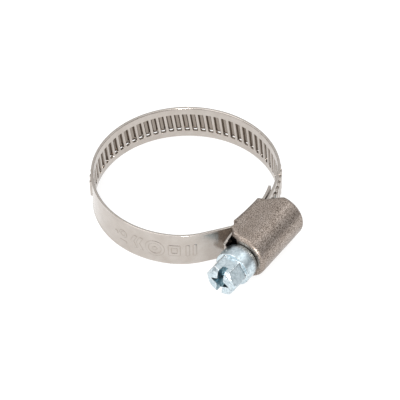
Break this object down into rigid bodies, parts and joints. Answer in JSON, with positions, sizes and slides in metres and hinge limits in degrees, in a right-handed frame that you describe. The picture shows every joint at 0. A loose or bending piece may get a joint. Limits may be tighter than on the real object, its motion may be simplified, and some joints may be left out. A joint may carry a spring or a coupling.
{
  "type": "hose clamp",
  "caption": "Worm-drive hose clamp: a steel band with pressed ribs loops round a hose, and a hex-headed screw in a pressed housing pulls it tight.",
  "frame": {"origin": "centre of the hose bore, the loop of the band, half-way across the band's width", "axes": "+Z along the bore; -Y from the bore towards the housing, which holds the screw; the screw lies along X with its head towards -X, and +X is the way the screw points"},
  "size_m": [0.0451, 0.0529, 0.011],
  "materials": {
    "band": "bright rolled stainless strip, satin to mirror",
    "housing": "pressed stainless sheet, satin with a fine grain",
    "screw": "bright zinc plating, worn at the edges"
  },
  "bodies": {
    "fixed": {"housing": "housing", "band_fixed_end": "band"},
    "screw": {"screw": "screw"},
    "band_smooth": {"band_smooth": "band"},
    "band_ribbed_1": {"band_ribbed_1": "band"},
    "band_ribbed_2": {"band_ribbed_2": "band"},
    "band_ribbed_3": {"band_ribbed_3": "band"},
    "band_threaded_end": {"band_threaded_end": "band"}
  },
  "joints": [
    {"name": "screw_turn", "type": "hinge", "parent": "fixed", "child": "screw", "pos_m": [0, -0.0243, 0], "axis": [1, 0, 0], "range_deg": [0, 1800]},
    {"name": "band_smooth_bend", "type": "hinge", "parent": "fixed", "child": "band_smooth", "pos_m": [-0.00992, -0.01899, 0], "axis": [0, 0, -1], "range_deg": [0, 2.22]},
    {"name": "band_ribbed_1_bend", "type": "hinge", "parent": "band_smooth", "child": "band_ribbed_1", "pos_m": [-0.01407, 0.01699, 0], "axis": [0, 0, -1], "range_deg": [0, 4.96]},
    {"name": "band_ribbed_2_bend", "type": "hinge", "parent": "band_ribbed_1", "child": "band_ribbed_2", "pos_m": [-0.00158, 0.02206, 0], "axis": [0, 0, -1], "range_deg": [0, 7.53]},
    {"name": "band_ribbed_3_bend", "type": "hinge", "parent": "band_ribbed_2", "child": "band_ribbed_3", "pos_m": [0.02021, 0.00851, 0], "axis": [0, 0, -1], "range_deg": [0, 1.34]},
    {"name": "band_threaded_end_bend", "type": "hinge", "parent": "band_ribbed_3", "child": "band_threaded_end", "pos_m": [0.01404, -0.01639, 0], "axis": [0, 0, -1], "range_deg": [0, 2.01]}
  ],
  "couplings": [
    {"joint": "band_smooth_bend", "follows": "screw_turn", "ratio": 0.001236},
    {"joint": "band_ribbed_1_bend", "follows": "screw_turn", "ratio": 0.002753},
    {"joint": "band_ribbed_2_bend", "follows": "screw_turn", "ratio": 0.004184},
    {"joint": "band_ribbed_3_bend", "follows": "screw_turn", "ratio": 0.000746},
    {"joint": "band_threaded_end_bend", "follows": "screw_turn", "ratio": 0.001118}
  ]
}
